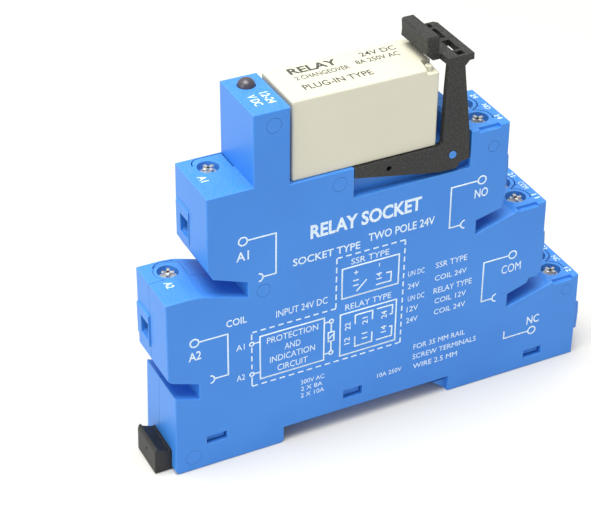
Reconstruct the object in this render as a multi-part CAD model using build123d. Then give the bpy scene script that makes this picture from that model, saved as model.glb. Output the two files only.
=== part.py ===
from build123d import *
import math
import os

# Slim rail-mounted interface relay: a two-shell screw-terminal socket, a plug-in relay,
# a retaining and release clip, and a rail latch.  Millimetres.
# Origin: middle of the seat that rests on the rail.  +X towards the contact terminals,
# +Y away from the printed side, +Z up.

# ---- driving dimensions ----
WIDTH = 14.0                      # over the ends of the clip's pivot pins
FACE_SET_BACK = 0.03              # the broad sides lie this far inside the pins' ends
FRONT = -WIDTH / 2 + FACE_SET_BACK
REAR = WIDTH / 2 - FACE_SET_BACK
SEAM_Y = 0.8
SEAM_GAP = 0.12
TOWER_SEAM_Z = 49.5               # above this the front shell carries the whole tower
SEAM_WIDTH, SEAM_DEEP = 0.24, 1.0  # grooves on the tier tops
EDGE_R = 0.25
RAIL_HALF = 18.2
FOOT_Z = -3.6
LEFT_X = -40.9
RIGHT_X = 47.8
SLOT_H = 3.2
TOWER_X = (-24.2, -17.1)
TOWER_TOP = 70.1
BAY_Z = 54.5
NOTCH_X = (-4.4, 20.05)
NOTCH_Z = 48.2
NOTCH_DEPTH = 1.7
POST_X = (15.4, 19.4)
POST_TOP = 59.6
SEAT_X = (-16.0, 15.0)            # the part of the underside that bears on the rail
SEAT_RELIEF = 0.05
POST_HALF_Y = 4.6

ROW_Y = 2.85                     # half the pitch of the two terminal rows
COIL_Y = 3.1                     # the coil terminals sit in the rear half only
COIL_TIERS = {"a1": (-28.4, 55.7), "a2": (-36.9, 35.8)}
CONTACT_TIERS = {"no": (23.6, 55.9), "com": (33.55, 35.9), "nc": (43.5, 15.9)}
CONTACT_NUMBERS = {"no": ("14", "24"), "com": ("11", "21"), "nc": ("12", "22")}

# Screw terminal, measured down from the top of its tier
SCREW_BORE_R = 2.05
HEAD_R = 1.95
HEAD_TOP, HEAD_FOOT = 1.2, 3.0
SHANK_R, SHANK_FOOT = 1.45, 7.8
LEDGE_TOP, LEDGE_FOOT = 3.1, 3.8
THREAD_R = 1.5
CAGE_X, CAGE_Y = 5.2, 4.4
CAGE_TOP, CAGE_FOOT = 5.9, 13.5
CAGE_PLATE, CAGE_WALL, CAGE_SOLE = 1.2, 0.6, 0.9
BAR_TOP, BAR_T = 8.0, 0.8
BAR_W = 3.0
WIRE_TOP, WIRE_FOOT, WIRE_W = 9.0, 12.4, 3.0
CHAMBER_X, CHAMBER_Y, CHAMBER_FOOT = 5.8, 5.0, 13.8

# Plug-in relay
RELAY_X = (-16.4, 12.8)
RELAY_W = 12.6
RELAY_Z = 54.65
RELAY_H = 15.95
RELAY_EDGE_R = 0.4
RELAY_WALL = 0.8
VENT_X, VENT_Y, VENT_R = 11.4, -4.6, 0.68
VENT_NOTCH_X, VENT_NOTCH_Y = 9.9, -2.6
VENT_NOTCH_DEEP = 1.15
PIN_ROW_Y = 3.75
ROUTE_HALF_Y = 5.05               # the strips' passages stay this close to the middle
COIL_PIN_X = -14.5
CONTACT_PIN_X = {"nc": 0.5, "com": 5.5, "no": 10.5}
PIN_T, PIN_W, PIN_FOOT = 0.5, 1.0, 51.0
BASE_TOP = 56.9
COIL_AXIS_Z = 62.6

# Release clip
PIVOT = (16.1, 52.0)
PIN_R, PIVOT_HOLE_R = 0.75, 0.83
ARM_T = 1.25
PLATE_Z = (70.95, 72.25)
PLATE_X = (13.95, 19.4)

# Rail latch
LATCH_Y = (-4.9, 3.5)
LATCH_Z = (-3.35, 1.0)
LATCH_CLEAR = 0.15


def block(x0, x1, y0, y1, z0, z1):
    return Pos((x0 + x1) / 2, (y0 + y1) / 2, (z0 + z1) / 2) * Box(x1 - x0, y1 - y0, z1 - z0)


def rod_z(x, y, z0, z1, r):
    return Pos(x, y, (z0 + z1) / 2) * Cylinder(r, z1 - z0)


def rod_y(x, z, y0, y1, r):
    return Pos(x, (y0 + y1) / 2, z) * Rot(90, 0, 0) * Cylinder(r, y1 - y0)


def rod_x(y, z, x0, x1, r):
    return Pos((x0 + x1) / 2, y, z) * Rot(0, 90, 0) * Cylinder(r, x1 - x0)


def slab(points, y0, y1):
    """A flat outline in X and Z, given thickness from y0 to y1."""
    face = Plane.XZ.offset(-y1) * make_face(Polyline(*points, close=True))
    return extrude(face, amount=y1 - y0)


def slab_z(points, z0, z1):
    """A flat outline in X and Y, given thickness from z0 to z1."""
    face = Plane.XY.offset(z0) * make_face(Polyline(*points, close=True))
    return extrude(face, amount=z1 - z0)


def soften(solid, select, radius):
    """Round the edges that select picks."""
    return fillet([e for e in solid.edges() if select(e)], radius)


def terminals():
    """Every screw terminal: name, x, y, height of its tier, side of its wire entry."""
    for name, (x, top) in COIL_TIERS.items():
        yield name, x, COIL_Y, top, -1
    for tier, (x, top) in CONTACT_TIERS.items():
        for number, y in zip(CONTACT_NUMBERS[tier], (-ROW_Y, ROW_Y)):
            yield number, x, y, top, 1


# ---- socket housing ----
def housing_outline():
    """Side view of the socket, clockwise from the tower's outer top corner."""
    a1, a2 = COIL_TIERS["a1"][1], COIL_TIERS["a2"][1]
    no, com, nc = (CONTACT_TIERS[t][1] for t in ("no", "com", "nc"))
    tower = [(TOWER_X[0], TOWER_TOP), (TOWER_X[1], TOWER_TOP), (TOWER_X[1], BAY_Z)]
    bay = [(NOTCH_X[1], BAY_Z), (NOTCH_X[1], no)]
    no_end = [(28.2, no), (28.35, no - 16.4), (27.8, no - 18.7)]
    slot_1 = [(22.3, 35.9), (22.3, 35.9 - SLOT_H), (30.8, 35.2), (31.8, com)]
    com_end = [(38.05, com), (38.3, com - 16.3), (37.3, com - 17.3), (35.6, com - 17.3)]
    slot_2 = [(35.1, 17.6), (30.8, 16.2), (30.8, 16.2 - SLOT_H), (40.2, 15.5), (41.2, nc)]
    nc_end = [(47.6, nc), (RIGHT_X, 6.0), (RIGHT_X, FOOT_Z)]
    rail = [(RAIL_HALF, FOOT_Z), (RAIL_HALF, 0), (-RAIL_HALF, 0),
            (-RAIL_HALF, FOOT_Z + 0.7), (-RAIL_HALF - 0.7, FOOT_Z)]
    foot = [(LEFT_X + 0.7, FOOT_Z), (LEFT_X, FOOT_Z + 0.9), (LEFT_X + 0.5, 14.4)]
    slot_3 = [(-35.6, 12.9), (-35.6, 12.9 + SLOT_H + 0.2), (-41.0, 18.2)]
    a2_end = [(-41.7, 19.0), (-41.6, a2), (-36.6, a2)]
    slot_4 = [(-34.3, a2 - 0.25), (-31.8, 34.8), (-25.5, 32.8), (-25.5, 36.05), (-32.3, 38.6)]
    a1_end = [(-33.4, 40.8), (-33.2, a1), (TOWER_X[0], a1)]
    return (tower + bay + no_end + slot_1 + com_end + slot_2 + nc_end + rail + foot
            + slot_3 + a2_end + slot_4 + a1_end)


COLLAR_HALF_Y = 2.75
COLLAR_FOOT, COLLAR_TOP = 14.0, 7.2
COLLAR_PROUD = {1: 0.8, -1: 0.35}


def wire_collar(x_face, side, y, top):
    """Raised pad on the end of a tier, where the wire goes in."""
    outer = x_face + side * COLLAR_PROUD[side]
    half = COLLAR_HALF_Y
    z0, z1 = top - COLLAR_FOOT, top - COLLAR_TOP
    if side > 0:
        pts = [(x_face - 0.9, z0), (outer - 0.1, z0), (outer, z1 - 3.0), (outer - 0.15, z1 - 0.4),
               (x_face - 0.9, z1 + 0.1)]
    else:
        pts = [(x_face + 0.4, z0), (outer, z0), (outer, z1), (x_face + 0.4, z1 + 0.3)]
    return slab(pts, y - half, y + half)


def terminal_space(x, y, top, side):
    """Everything cut out of the housing for one screw terminal."""
    beyond = x + side * 6.2
    space = rod_z(x, y, top - LEDGE_TOP, top + 1, SCREW_BORE_R)
    space += rod_z(x, y, top - LEDGE_FOOT - 0.1, top - LEDGE_TOP + 0.1, THREAD_R + 0.15)
    space += block(x - CHAMBER_X / 2, x + CHAMBER_X / 2, y - CHAMBER_Y / 2, y + CHAMBER_Y / 2,
                   top - CHAMBER_FOOT, top - LEDGE_FOOT)
    x0, x1 = sorted((x, beyond))
    half = WIRE_W / 2
    space += block(x0, x1, y - half, y + half, top - WIRE_FOOT, top - WIRE_TOP)
    mouth = x + side * 4.55
    flare = 0.4
    x0, x1 = sorted((mouth, beyond))
    space += block(x0, x1, y - half - flare, y + half, top - WIRE_FOOT - flare, top - WIRE_TOP)
    return space


def strip_route(pin_x, bar_x, top):
    """Passage from under a relay pin down, and then across to a terminal."""
    z = top - BAR_TOP
    x0, x1 = sorted((pin_x, bar_x))
    down = (pin_x - 1.2, pin_x + 1.2, z - BAR_T - 0.5, BAY_Z + 1)
    across = (x0 - 1.2, x1, z - BAR_T - 0.5, z + 0.5)
    return down, across


def socket_space():
    """All the hollows inside the socket."""
    space = block(TOWER_X[0] + 1.3, TOWER_X[1] - 1.3, -5.6, 5.6, 47.6, TOWER_TOP - 1.2)
    space += rod_z(LENS_X, LENS_Y, TOWER_TOP - 2, TOWER_TOP + 1, LENS_R + 0.05)
    for _, x, y, top, side in terminals():
        space += terminal_space(x, y, top, side)
    for tier, (x, top) in CONTACT_TIERS.items():
        down, across = strip_route(CONTACT_PIN_X[tier], x, top)
        for sign in (-1, 1):
            y0, y1 = sorted((sign * 0.75, sign * ROUTE_HALF_Y))
            for x0, x1, z0, z1 in (down, across):
                space += block(x0, x1, y0, y1, z0, z1)
    for sign, name in ((1, "a1"), (-1, "a2")):
        x, top = COIL_TIERS[name]
        z = top - BAR_TOP
        y0, y1 = sorted((sign * 1.4, sign * ROUTE_HALF_Y))
        space += block(COIL_PIN_X - 1.2, COIL_PIN_X + 1.2, y0, y1, z - BAR_T - 0.5, BAY_Z + 1)
        low = 1.2 if sign > 0 else -ROUTE_HALF_Y
        space += block(x, COIL_PIN_X + 1.2, low, ROUTE_HALF_Y, z - BAR_T - 0.5, z + 0.5)
    return space


SNAP_WINDOWS = ((-34.4, -30.2, 1.7, 3.55), (-5.5, -1.35, 2.4, 4.6), (35.8, 40.0, -1.3, 0.7))
LENS_X, LENS_Y, LENS_R = -20.6, 3.5, 1.66
DOME_SINK = 0.25
TAG_LENGTH, TAG_DEEP, TAG_HIGH = 4.6, 0.9, 0.7
A1_SEAM = ((-24.3, 6.45), (-29.3, 6.45), (-30.1, 6.1), (-30.6, 5.4), (-30.85, 4.5))
TOWER_FOOT_SEAM = ((-24.3, 6.35), (-24.3, 1.3))
A2_SEAM = ((-34.6, 6.3), (-37.4, 6.3), (-38.3, 6.0), (-39.0, 5.2))


def tag_notch(x, top):
    """Notch in a tier's front edge that takes a marker tag."""
    return block(x - 2.0, x - 2.0 + TAG_LENGTH, FRONT - 1, FRONT + TAG_DEEP, top - TAG_HIGH, top + 1)


def seam_arc(x, y, top, start, sweep):
    """Thin moulded groove that follows the rim of a screw hole."""
    r, half = 2.85, SEAM_WIDTH / 2
    ring = Circle(r + half) - Circle(r - half)
    far = 6.0
    steps = [start + sweep * i / 4 for i in range(5)]
    fan = [(0, 0)] + [(far * math.cos(math.radians(a)), far * math.sin(math.radians(a))) for a in steps]
    face = ring & make_face(Polyline(*fan, close=True))
    return extrude(Pos(x, y, top - SEAM_DEEP) * face, amount=2 * SEAM_DEEP)


def seam_groove(points, top):
    """Thin straight-sided groove along a run of points on a tier's top."""
    grooves = None
    for (x0, y0), (x1, y1) in zip(points, points[1:]):
        length = math.hypot(x1 - x0, y1 - y0)
        bar = Box(length + SEAM_WIDTH, SEAM_WIDTH, 2 * SEAM_DEEP)
        turn = math.degrees(math.atan2(y1 - y0, x1 - x0))
        piece = Pos((x0 + x1) / 2, (y0 + y1) / 2, top) * Rot(0, 0, turn) * bar
        grooves = piece if grooves is None else grooves + piece
    return grooves


def ejector_mark(x, z, r):
    """Shallow round mark left by an ejector pin in the printed face."""
    ring = Circle(r) - Circle(r - 0.08)
    return extrude(Plane.XZ.offset(-FRONT - 0.06) * Pos(x, z) * ring, amount=0.5)


def rail_hook():
    """Fixed hook that goes under the rail's edge on the contact side."""
    pts = [(15.3, -1.2), (RAIL_HALF + 0.3, -1.2), (RAIL_HALF + 0.3, FOOT_Z + 0.1), (RAIL_HALF, FOOT_Z + 0.1)]
    return slab(pts, FRONT + 1.1, REAR - 1.1)


def latch_channel():
    y0, y1 = LATCH_Y[0] - LATCH_CLEAR, LATCH_Y[1] + LATCH_CLEAR
    return block(LEFT_X - 2, -RAIL_HALF + 2, y0, y1, FOOT_Z - 1, LATCH_Z[1] + LATCH_CLEAR)


def tongues(grow):
    """What the front shell carries beyond the seam: the tower, and the rim of the lower coil hole."""
    x, top = COIL_TIERS["a2"]
    z0 = top - LEDGE_FOOT - grow
    rim = rod_z(x, COIL_Y, z0, top + 1, 2.65 + grow)
    rim += block(x, x + 3.2 + grow, SEAM_Y - 1, COIL_Y + 2.65 + grow, z0, top + 1)
    return rim + block(LEFT_X, TOWER_X[1] + grow, SEAM_Y - 1, REAR + 1, TOWER_SEAM_Z - grow, TOWER_TOP + 1)


def socket_block():
    body = slab(housing_outline(), FRONT, REAR)
    body = soften(body, lambda e: abs(e.center().Y) > REAR - 0.01, EDGE_R)
    body += block(POST_X[0], NOTCH_X[1] + 0.5, -POST_HALF_Y, POST_HALF_Y, BAY_Z - 1, CONTACT_TIERS["no"][1])
    body += slab([(POST_X[0], BAY_Z), (POST_X[1], BAY_Z), (POST_X[1], POST_TOP - 0.8),
                  (POST_X[1] - 0.8, POST_TOP), (POST_X[0] + 0.5, POST_TOP), (POST_X[0], POST_TOP - 0.5)],
                 -POST_HALF_Y, POST_HALF_Y)
    for tier, (x, top) in CONTACT_TIERS.items():
        for y in (-ROW_Y - 0.55, ROW_Y + 0.55):
            body += wire_collar(x + 4.65, 1, y, top)
    for x, top in COIL_TIERS.values():
        body += wire_collar(x - 4.75, -1, COIL_Y + 0.6, top)
    body += rail_hook()
    for y0, y1 in ((FRONT - 1, FRONT + NOTCH_DEPTH), (REAR - NOTCH_DEPTH, REAR + 1)):
        body -= block(NOTCH_X[0], NOTCH_X[1], y0, y1, NOTCH_Z, BAY_Z + 3)
    body += rod_y(*PIVOT, -WIDTH / 2, WIDTH / 2, PIN_R)
    for x0, x1 in ((SEAT_X[1], RAIL_HALF), (-RAIL_HALF, SEAT_X[0])):
        body -= block(x0, x1, FRONT - 1, REAR + 1, -1.0, SEAT_RELIEF)
    body -= seam_groove(A1_SEAM, COIL_TIERS["a1"][1])
    body -= seam_groove(TOWER_FOOT_SEAM, COIL_TIERS["a1"][1])
    body -= seam_groove(A2_SEAM, COIL_TIERS["a2"][1])
    for x, top in CONTACT_TIERS.values():
        body -= tag_notch(x, top)
        body -= seam_arc(x, -ROW_Y, top, -30, 107)
        body -= seam_arc(x, ROW_Y, top, -77, 137)
    for x, z, r in ((-20.2, 67.2, 1.5), (-7.2, 51.9, 1.5), (-22.4, 33.4, 1.4), (44.9, 13.1, 1.2),
                    (-37.2, -0.5, 1.6), (24.9, 51.6, 1.2)):
        body -= ejector_mark(x, z, r)
    return body - socket_space() - latch_channel() + latch_guides() + spring_stop()


def snap_hooks(grow):
    """Hooks on the rear shell that reach into the front shell's windows."""
    hooks = None
    for x0, x1, z0, z1 in SNAP_WINDOWS:
        m = 0.25 - grow
        middle = (z0 + z1) / 2
        tip = FRONT + 0.9 - 4 * grow
        stem = block(x0 + 0.7 - grow, x1 - m, tip, SEAM_Y + 1, middle - 0.5 - grow, z1 - m)
        nose = block(x0 + m, x1 - m, tip, FRONT + 1.7 + grow, z0 + m, z1 - m)
        piece = stem + nose
        hooks = piece if hooks is None else hooks + piece
    return hooks


def front_and_rear_shells():
    body = socket_block()
    far = 120
    front_half = block(-far, far, FRONT - 5, SEAM_Y, -far, far)
    rear_half = block(-far, far, SEAM_Y + SEAM_GAP, REAR + 5, -far, far)
    front = body & (front_half + tongues(0))
    rear = (body & rear_half) - tongues(SEAM_GAP)
    for x0, x1, z0, z1 in SNAP_WINDOWS:
        front -= block(x0, x1, FRONT - 1, FRONT + 2.0, z0, z1)
    front -= snap_hooks(0.1)
    rear += snap_hooks(0)
    return front, rear


# ---- screw terminals ----
def terminal_screw(x, y, top):
    head = rod_z(x, y, top - HEAD_FOOT, top - HEAD_TOP, HEAD_R)
    head = soften(head, lambda e: abs(e.center().Z - (top - HEAD_TOP)) < 0.01, 0.3)
    screw = head + rod_z(x, y, top - SHANK_FOOT, top - HEAD_FOOT + 0.1, SHANK_R)
    arm, w, deep = 1.15, 0.28, 1.1
    z0, z1 = top - HEAD_TOP - deep, top
    screw -= block(x - arm, x + arm, y - w, y + w, z0, z1)
    screw -= block(x - w, x + w, y - arm, y + arm, z0, z1)
    return screw


def clamp_cage(x, y, top):
    cage = block(x - CAGE_X / 2, x + CAGE_X / 2, y - CAGE_Y / 2, y + CAGE_Y / 2,
                 top - CAGE_FOOT, top - CAGE_TOP)
    cage = soften(cage, lambda e: abs(e.tangent_at(0.5).X) > 0.9, 0.5)
    inner = CAGE_Y / 2 - CAGE_WALL
    cage -= block(x - CAGE_X, x + CAGE_X, y - inner, y + inner,
                  top - CAGE_FOOT + CAGE_SOLE, top - CAGE_TOP - CAGE_PLATE)
    return cage - rod_z(x, y, top - CAGE_FOOT + CAGE_SOLE + 1, top, THREAD_R)


def pin_fork(x, y, foot):
    """Two spring leaves that grip a relay pin."""
    fork = None
    for sign in (-1, 1):
        gap, t = PIN_T / 2 + 0.05, 0.35
        pts = [(x + sign * gap, foot), (x + sign * (gap + t), foot), (x + sign * (gap + t), 53.2),
               (x + sign * (gap + t + 0.3), 54.1), (x + sign * (gap + 0.3), 54.1), (x + sign * gap, 53.2)]
        leaf = slab(pts, y - 1.2, y + 1.2)
        fork = leaf if fork is None else fork + leaf
    return fork


def contact_strip(tier, y_sign):
    """Stamped copper strip from a relay pin's fork to its terminal cage."""
    x, top = CONTACT_TIERS[tier]
    pin_x = CONTACT_PIN_X[tier]
    pin_y = y_sign * PIN_ROW_Y
    z1 = top - BAR_TOP
    z0 = z1 - BAR_T
    y0, y1 = sorted((y_sign * (ROW_Y - BAR_W / 2), y_sign * (PIN_ROW_Y + 1.2)))
    strip = block(pin_x - 0.65, pin_x + 0.65, pin_y - 1.2, pin_y + 1.2, z0, z0 + 1.4)
    strip += block(pin_x - 0.65, x - 3.4, y0, y1, z0, z1)
    strip += block(x - 3.5, x + 2.4, y_sign * ROW_Y - BAR_W / 2, y_sign * ROW_Y + BAR_W / 2, z0, z1)
    return strip + pin_fork(pin_x, pin_y, z0)


def coil_strip(name, y_sign):
    x, top = COIL_TIERS[name]
    pin_y = y_sign * PIN_ROW_Y
    z1 = top - BAR_TOP
    z0 = z1 - BAR_T
    strip = block(COIL_PIN_X - 0.65, COIL_PIN_X + 0.65, pin_y - 1.2, pin_y + 1.2, z0, z0 + 1.4)
    near = COIL_Y - BAR_W / 2
    low = near if y_sign > 0 else pin_y - 1.2
    strip += block(x + 3.3, COIL_PIN_X + 0.65, low, low + 2.9, z0, z1)
    strip += block(x + 3.3, x + 5.3, low, COIL_Y + BAR_W / 2, z0, z1)
    strip += block(x - 2.4, x + 3.4, near, COIL_Y + BAR_W / 2, z0, z1)
    return strip + pin_fork(COIL_PIN_X, pin_y, z0)


# ---- indicator and coil protection ----
BOARD_X = (-22.7, -21.9)
BOARD_Z = (47.75, 67.4)


def circuit_board():
    return block(*BOARD_X, -5.2, 5.2, *BOARD_Z)


def indicator_led():
    led = rod_z(LENS_X, LENS_Y, 66.2, 68.4, 1.0)
    led += rod_z(LENS_X, LENS_Y, 65.9, 66.3, 1.2)
    return led + block(BOARD_X[1], LENS_X, LENS_Y - 0.9, LENS_Y + 0.9, 65.9, 66.2)


def indicator_lens():
    """Smoked dome pressed into the top of the tower, hollow over the light."""
    middle = TOWER_TOP - DOME_SINK
    radius = LENS_R - 0.03
    dome = Pos(LENS_X, LENS_Y, middle) * Sphere(radius)
    dome &= block(LENS_X - 3, LENS_X + 3, LENS_Y - 3, LENS_Y + 3, middle, TOWER_TOP + 3)
    lens = dome + rod_z(LENS_X, LENS_Y, TOWER_TOP - 1.3, middle, radius)
    return lens - rod_z(LENS_X, LENS_Y, TOWER_TOP - 2.5, TOWER_TOP - 0.4, LENS_R - 0.6)


def bridge_rectifier():
    return block(BOARD_X[1], BOARD_X[1] + 1.4, -4.2, -0.8, 60.0, 64.0)


def surge_diode():
    return rod_z(BOARD_X[1] + 1.0, 2.6, 58.0, 62.0, 0.95)


def series_resistor():
    return rod_z(BOARD_X[1] + 1.0, 2.6, 52.0, 56.2, 0.95)


def filter_capacitor():
    return block(BOARD_X[1], BOARD_X[1] + 2.2, -4.4, -0.6, 52.0, 57.5)


# ---- release clip ----
def clip_arm_outline(slim):
    """Lever seen from the side: an ejecting leg, a pivot and an upright."""
    x, z = PLATE_X[0], PLATE_Z[0] + 0.4
    leg = [(-4.2, 54.4), (-4.2, 52.3), (4.0, 50.7), (11.5, 49.3), (13.9, 48.95), (17.1, 48.95), (17.7, 50.0),
           (19.75, 50.4), (19.4, 56.3)]
    inner = [(13.9, 55.0), (13.4, 54.4)]
    if slim:
        return leg + [(16.5, 60.2), (16.3, z), (13.9, z), (14.0, 62.0)] + inner
    return leg + [(18.15, 66.0), (17.65, 70.0), (18.4, 70.8), (18.6, z), (x - 0.1, z), (14.3, 70.6),
                  (14.1, 66.0)] + inner


def release_clip():
    clip = slab(clip_arm_outline(False), FRONT + 0.05, FRONT + 0.05 + ARM_T)
    clip += slab(clip_arm_outline(True), REAR - 0.05 - ARM_T, REAR - 0.05)
    edge = 0.6
    plate = [(PLATE_X[0], FRONT + 0.05), (PLATE_X[1], FRONT + 0.05), (PLATE_X[1], REAR - 0.05 - edge),
             (PLATE_X[1] - edge, REAR - 0.05), (PLATE_X[0] + 0.4, REAR - 0.05), (PLATE_X[0] - 0.4, REAR - 0.5)]
    clip += slab_z(plate, *PLATE_Z)
    half = 4.62
    face = [(10.85, 72.4), (12.2, 71.2), (14.2, 71.2), (14.2, PLATE_Z[1]), (13.35, PLATE_Z[1]),
            (13.35, 75.75), (13.2, 75.9), (11.1, 75.9), (10.8, 75.6), (10.95, 73.8)]
    clip += slab(face, -half, half)
    for y0, y1 in ((-6.4, -5.0), (-4.4, -0.5), (0.5, 4.4), (5.0, 6.4)):
        clip -= block(16.2, 17.8, y0, y1, PLATE_Z[0] - 0.05, PLATE_Z[1] + 1)
    for y0 in (FRONT - 1, REAR - 2):
        clip -= rod_y(*PIVOT, y0, y0 + 3, PIVOT_HOLE_R)
        clip -= rod_y(2.8, 52.5, y0, y0 + 3, 0.55)
    return clip


# ---- rail latch ----
SPRING_X = (-34.0, -27.5)
SPRING_R, SPRING_WIRE = 1.1, 0.25
SPRING_Y, SPRING_Z = -0.7, -1.35
STOP_X = (-35.0, -34.05)
LATCH_TRAVEL = 2.5
GUIDE_X, GUIDE_Z, GUIDE_DEEP = (-33.0, -22.0), (-2.1, -1.3), 0.6


def rail_latch():
    y0, y1 = LATCH_Y
    z0, z1 = LATCH_Z
    pts = [(-44.3, z0), (-44.2, 1.5), (-43.95, 2.2), (-43.6, 2.3), (-43.2, 1.7), (-41.4, z1), (-20.0, z1),
           (-20.0, -1.2), (-18.6, -1.2), (-18.6, z0)]
    latch = slab(pts, y0, y1)
    nose = [(-18.7, -1.2), (-16.5, -1.2), (-18.0, z0), (-18.7, z0)]
    latch += slab(nose, -2.0, 2.0)
    p0, p1 = SPRING_Y - 1.6, SPRING_Y + 1.6
    latch -= block(STOP_X[0] - 3.0, SPRING_X[1], p0, p1, z0 - 1, z1 - 0.9)
    latch -= block(STOP_X[0] - 0.3, STOP_X[1] + LATCH_TRAVEL + 0.3, p0, p1, z0, z1 + 1)
    deep, gap = GUIDE_DEEP + LATCH_CLEAR, LATCH_CLEAR
    for a, b in ((y0 - 1, y0 + deep), (y1 - deep, y1 + 1)):
        latch -= block(GUIDE_X[0] - 0.3, -RAIL_HALF + 2, a, b, GUIDE_Z[0] - gap, GUIDE_Z[1] + gap)
    return latch - rod_x(SPRING_Y, -0.3, -45, -43.9, 0.3)


def latch_guides():
    """Ribs down both sides of the latch's channel, which run in its grooves."""
    y0, y1 = LATCH_Y[0] - LATCH_CLEAR, LATCH_Y[1] + LATCH_CLEAR
    ribs = block(*GUIDE_X, y0 - 0.5, y0 + GUIDE_DEEP, *GUIDE_Z)
    return ribs + block(*GUIDE_X, y1 - GUIDE_DEEP, y1 + 0.5, *GUIDE_Z)


def spring_stop():
    """Lug under the channel's ceiling that the latch spring pushes against."""
    return block(*STOP_X, SPRING_Y - 1.3, SPRING_Y + 1.3, FOOT_Z + 0.4, LATCH_Z[1] + 0.6)


def latch_spring():
    turns = 6
    length = SPRING_X[1] - SPRING_X[0] - 2 * SPRING_WIRE
    path = Helix(length / turns, length, SPRING_R)
    profile = Plane(path @ 0, z_dir=path % 0) * Circle(SPRING_WIRE)
    coil = sweep(profile, path=path)
    return Pos(SPRING_X[0] + SPRING_WIRE, SPRING_Y, SPRING_Z) * Rot(0, 90, 0) * coil


# ---- plug-in relay ----
def relay_cover():
    x0, x1 = RELAY_X
    half = RELAY_W / 2
    z1 = RELAY_Z + RELAY_H
    wall = RELAY_WALL
    cover = block(x0, x1, -half, half, RELAY_Z, z1)
    cover = soften(cover, lambda e: abs(e.tangent_at(0.5).Z) > 0.9 or e.center().Z > z1 - 0.01, RELAY_EDGE_R)
    cover -= block(x0 + wall, x1 - wall, -half + wall, half - wall, RELAY_Z - 1, z1 - wall)
    floor = z1 - VENT_NOTCH_DEEP
    cover += block(VENT_NOTCH_X - wall, x1 - 0.5, 0.5 - half, VENT_NOTCH_Y + wall, floor - wall, z1 - 0.5)
    corner = [(VENT_NOTCH_X, -half - 1), (x1 + 1, -half - 1), (x1 + 1, VENT_NOTCH_Y),
              (VENT_NOTCH_X + 1.0, VENT_NOTCH_Y)]
    cover -= slab_z(corner, floor, z1 + 1)
    return cover + rod_z(VENT_X, VENT_Y, floor - 0.3, z1 - 0.1, VENT_R)


def relay_base():
    base = block(RELAY_X[0] + 0.85, RELAY_X[1] - 0.85, -5.4, 5.4, RELAY_Z + 0.1, BASE_TOP)
    for pin_x in [COIL_PIN_X] + list(CONTACT_PIN_X.values()):
        for sign in (-1, 1):
            y = sign * PIN_ROW_Y
            base -= block(pin_x - 0.3, pin_x + 0.3, y - 0.55, y + 0.55, RELAY_Z - 1, BASE_TOP + 1)
    return base


def relay_pin(x, y, top):
    pin = block(x - PIN_T / 2, x + PIN_T / 2, y - PIN_W / 2, y + PIN_W / 2, PIN_FOOT, top)
    return soften(pin, lambda e: abs(e.center().Z - PIN_FOOT) < 0.01, 0.12)


def coil_pins():
    return Compound([relay_pin(COIL_PIN_X, s * PIN_ROW_Y, 57.1) for s in (-1, 1)])


def common_pins():
    pins = []
    for sign in (-1, 1):
        y = sign * PIN_ROW_Y
        foot = block(5.1, 5.9, y - 1.5, y + 1.5, BASE_TOP + 0.02, 57.6)
        pins.append(relay_pin(CONTACT_PIN_X["com"], y, 57.2) + foot)
    return Compound(pins)


MOVING_X = (5.35, 5.6)
BUTTON_Z, BUTTON_R, BUTTON_T = 66.3, 0.95, 0.35
CONTACT_GAP = 0.66


def moving_contact(sign):
    y = sign * PIN_ROW_Y
    leaf = block(*MOVING_X, y - 1.5, y + 1.5, 57.7, 67.6)
    leaf += block(*MOVING_X, y - 0.6, y + 0.6, 67.5, 68.8)
    return leaf + rod_x(y, BUTTON_Z, MOVING_X[0] - BUTTON_T, MOVING_X[1] + BUTTON_T, BUTTON_R)


def fixed_contact(kind, sign):
    y = sign * PIN_ROW_Y
    pin_x = CONTACT_PIN_X[kind]
    if kind == "nc":
        face = MOVING_X[0] - BUTTON_T - 0.03
        x0, x1 = face - BUTTON_T - 0.45, face - BUTTON_T
    else:
        face = MOVING_X[1] + BUTTON_T + CONTACT_GAP
        x0, x1 = face + BUTTON_T, face + BUTTON_T + 0.45
    upright = block(x0, x1, y - 1.5, y + 1.5, BASE_TOP + 0.02, 67.4)
    f0, f1 = min(x0, pin_x - 0.4), max(x1, pin_x + 0.4)
    foot = block(f0, f1, y - 1.5, y + 1.5, BASE_TOP + 0.02, 57.5)
    b0, b1 = sorted((face, x0 if kind == "no" else x1))
    return upright + foot + rod_x(y, BUTTON_Z, b0 - 0.01, b1 + 0.01, BUTTON_R) + relay_pin(pin_x, y, 57.2)


def coil_bobbin():
    bobbin = rod_x(0, COIL_AXIS_Z, -13.6, -2.3, 2.3)
    for x0, x1 in ((-13.6, -12.9), (-3.0, -2.3)):
        bobbin += block(x0, x1, -4.9, 4.9, 58.3, 67.2)
    return bobbin - rod_x(0, COIL_AXIS_Z, -14, -2, 1.75)


def coil_winding():
    r = 4.2
    return rod_x(0, COIL_AXIS_Z, -12.85, -3.05, r) - rod_x(0, COIL_AXIS_Z, -13, -3, 2.35)


def iron_core():
    return rod_x(0, COIL_AXIS_Z, -14.0, -1.3, 1.7) + rod_x(0, COIL_AXIS_Z, -14.05, -13.65, 2.6)


def yoke():
    plate = block(-14.35, -1.25, -4.2, 4.2, 57.1, 58.1)
    plate += block(-2.25, -1.25, -4.2, 4.2, 58.0, 66.4)
    return plate - rod_x(0, COIL_AXIS_Z, -3, 0, 1.72)


def armature():
    return block(-15.3, -14.6, -4.0, 4.0, 57.3, 68.75)


def pusher_card():
    card = block(-14.5, 4.6, -3.2, 3.2, 67.85, 68.6)
    for sign in (-1, 1):
        y = sign * PIN_ROW_Y
        card += block(3.6, 5.3, min(0, y), max(0, y), 67.85, 68.6)
        card += block(4.4, 5.3, y - 0.9, y + 0.9, 67.85, 68.6)
    return card


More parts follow.
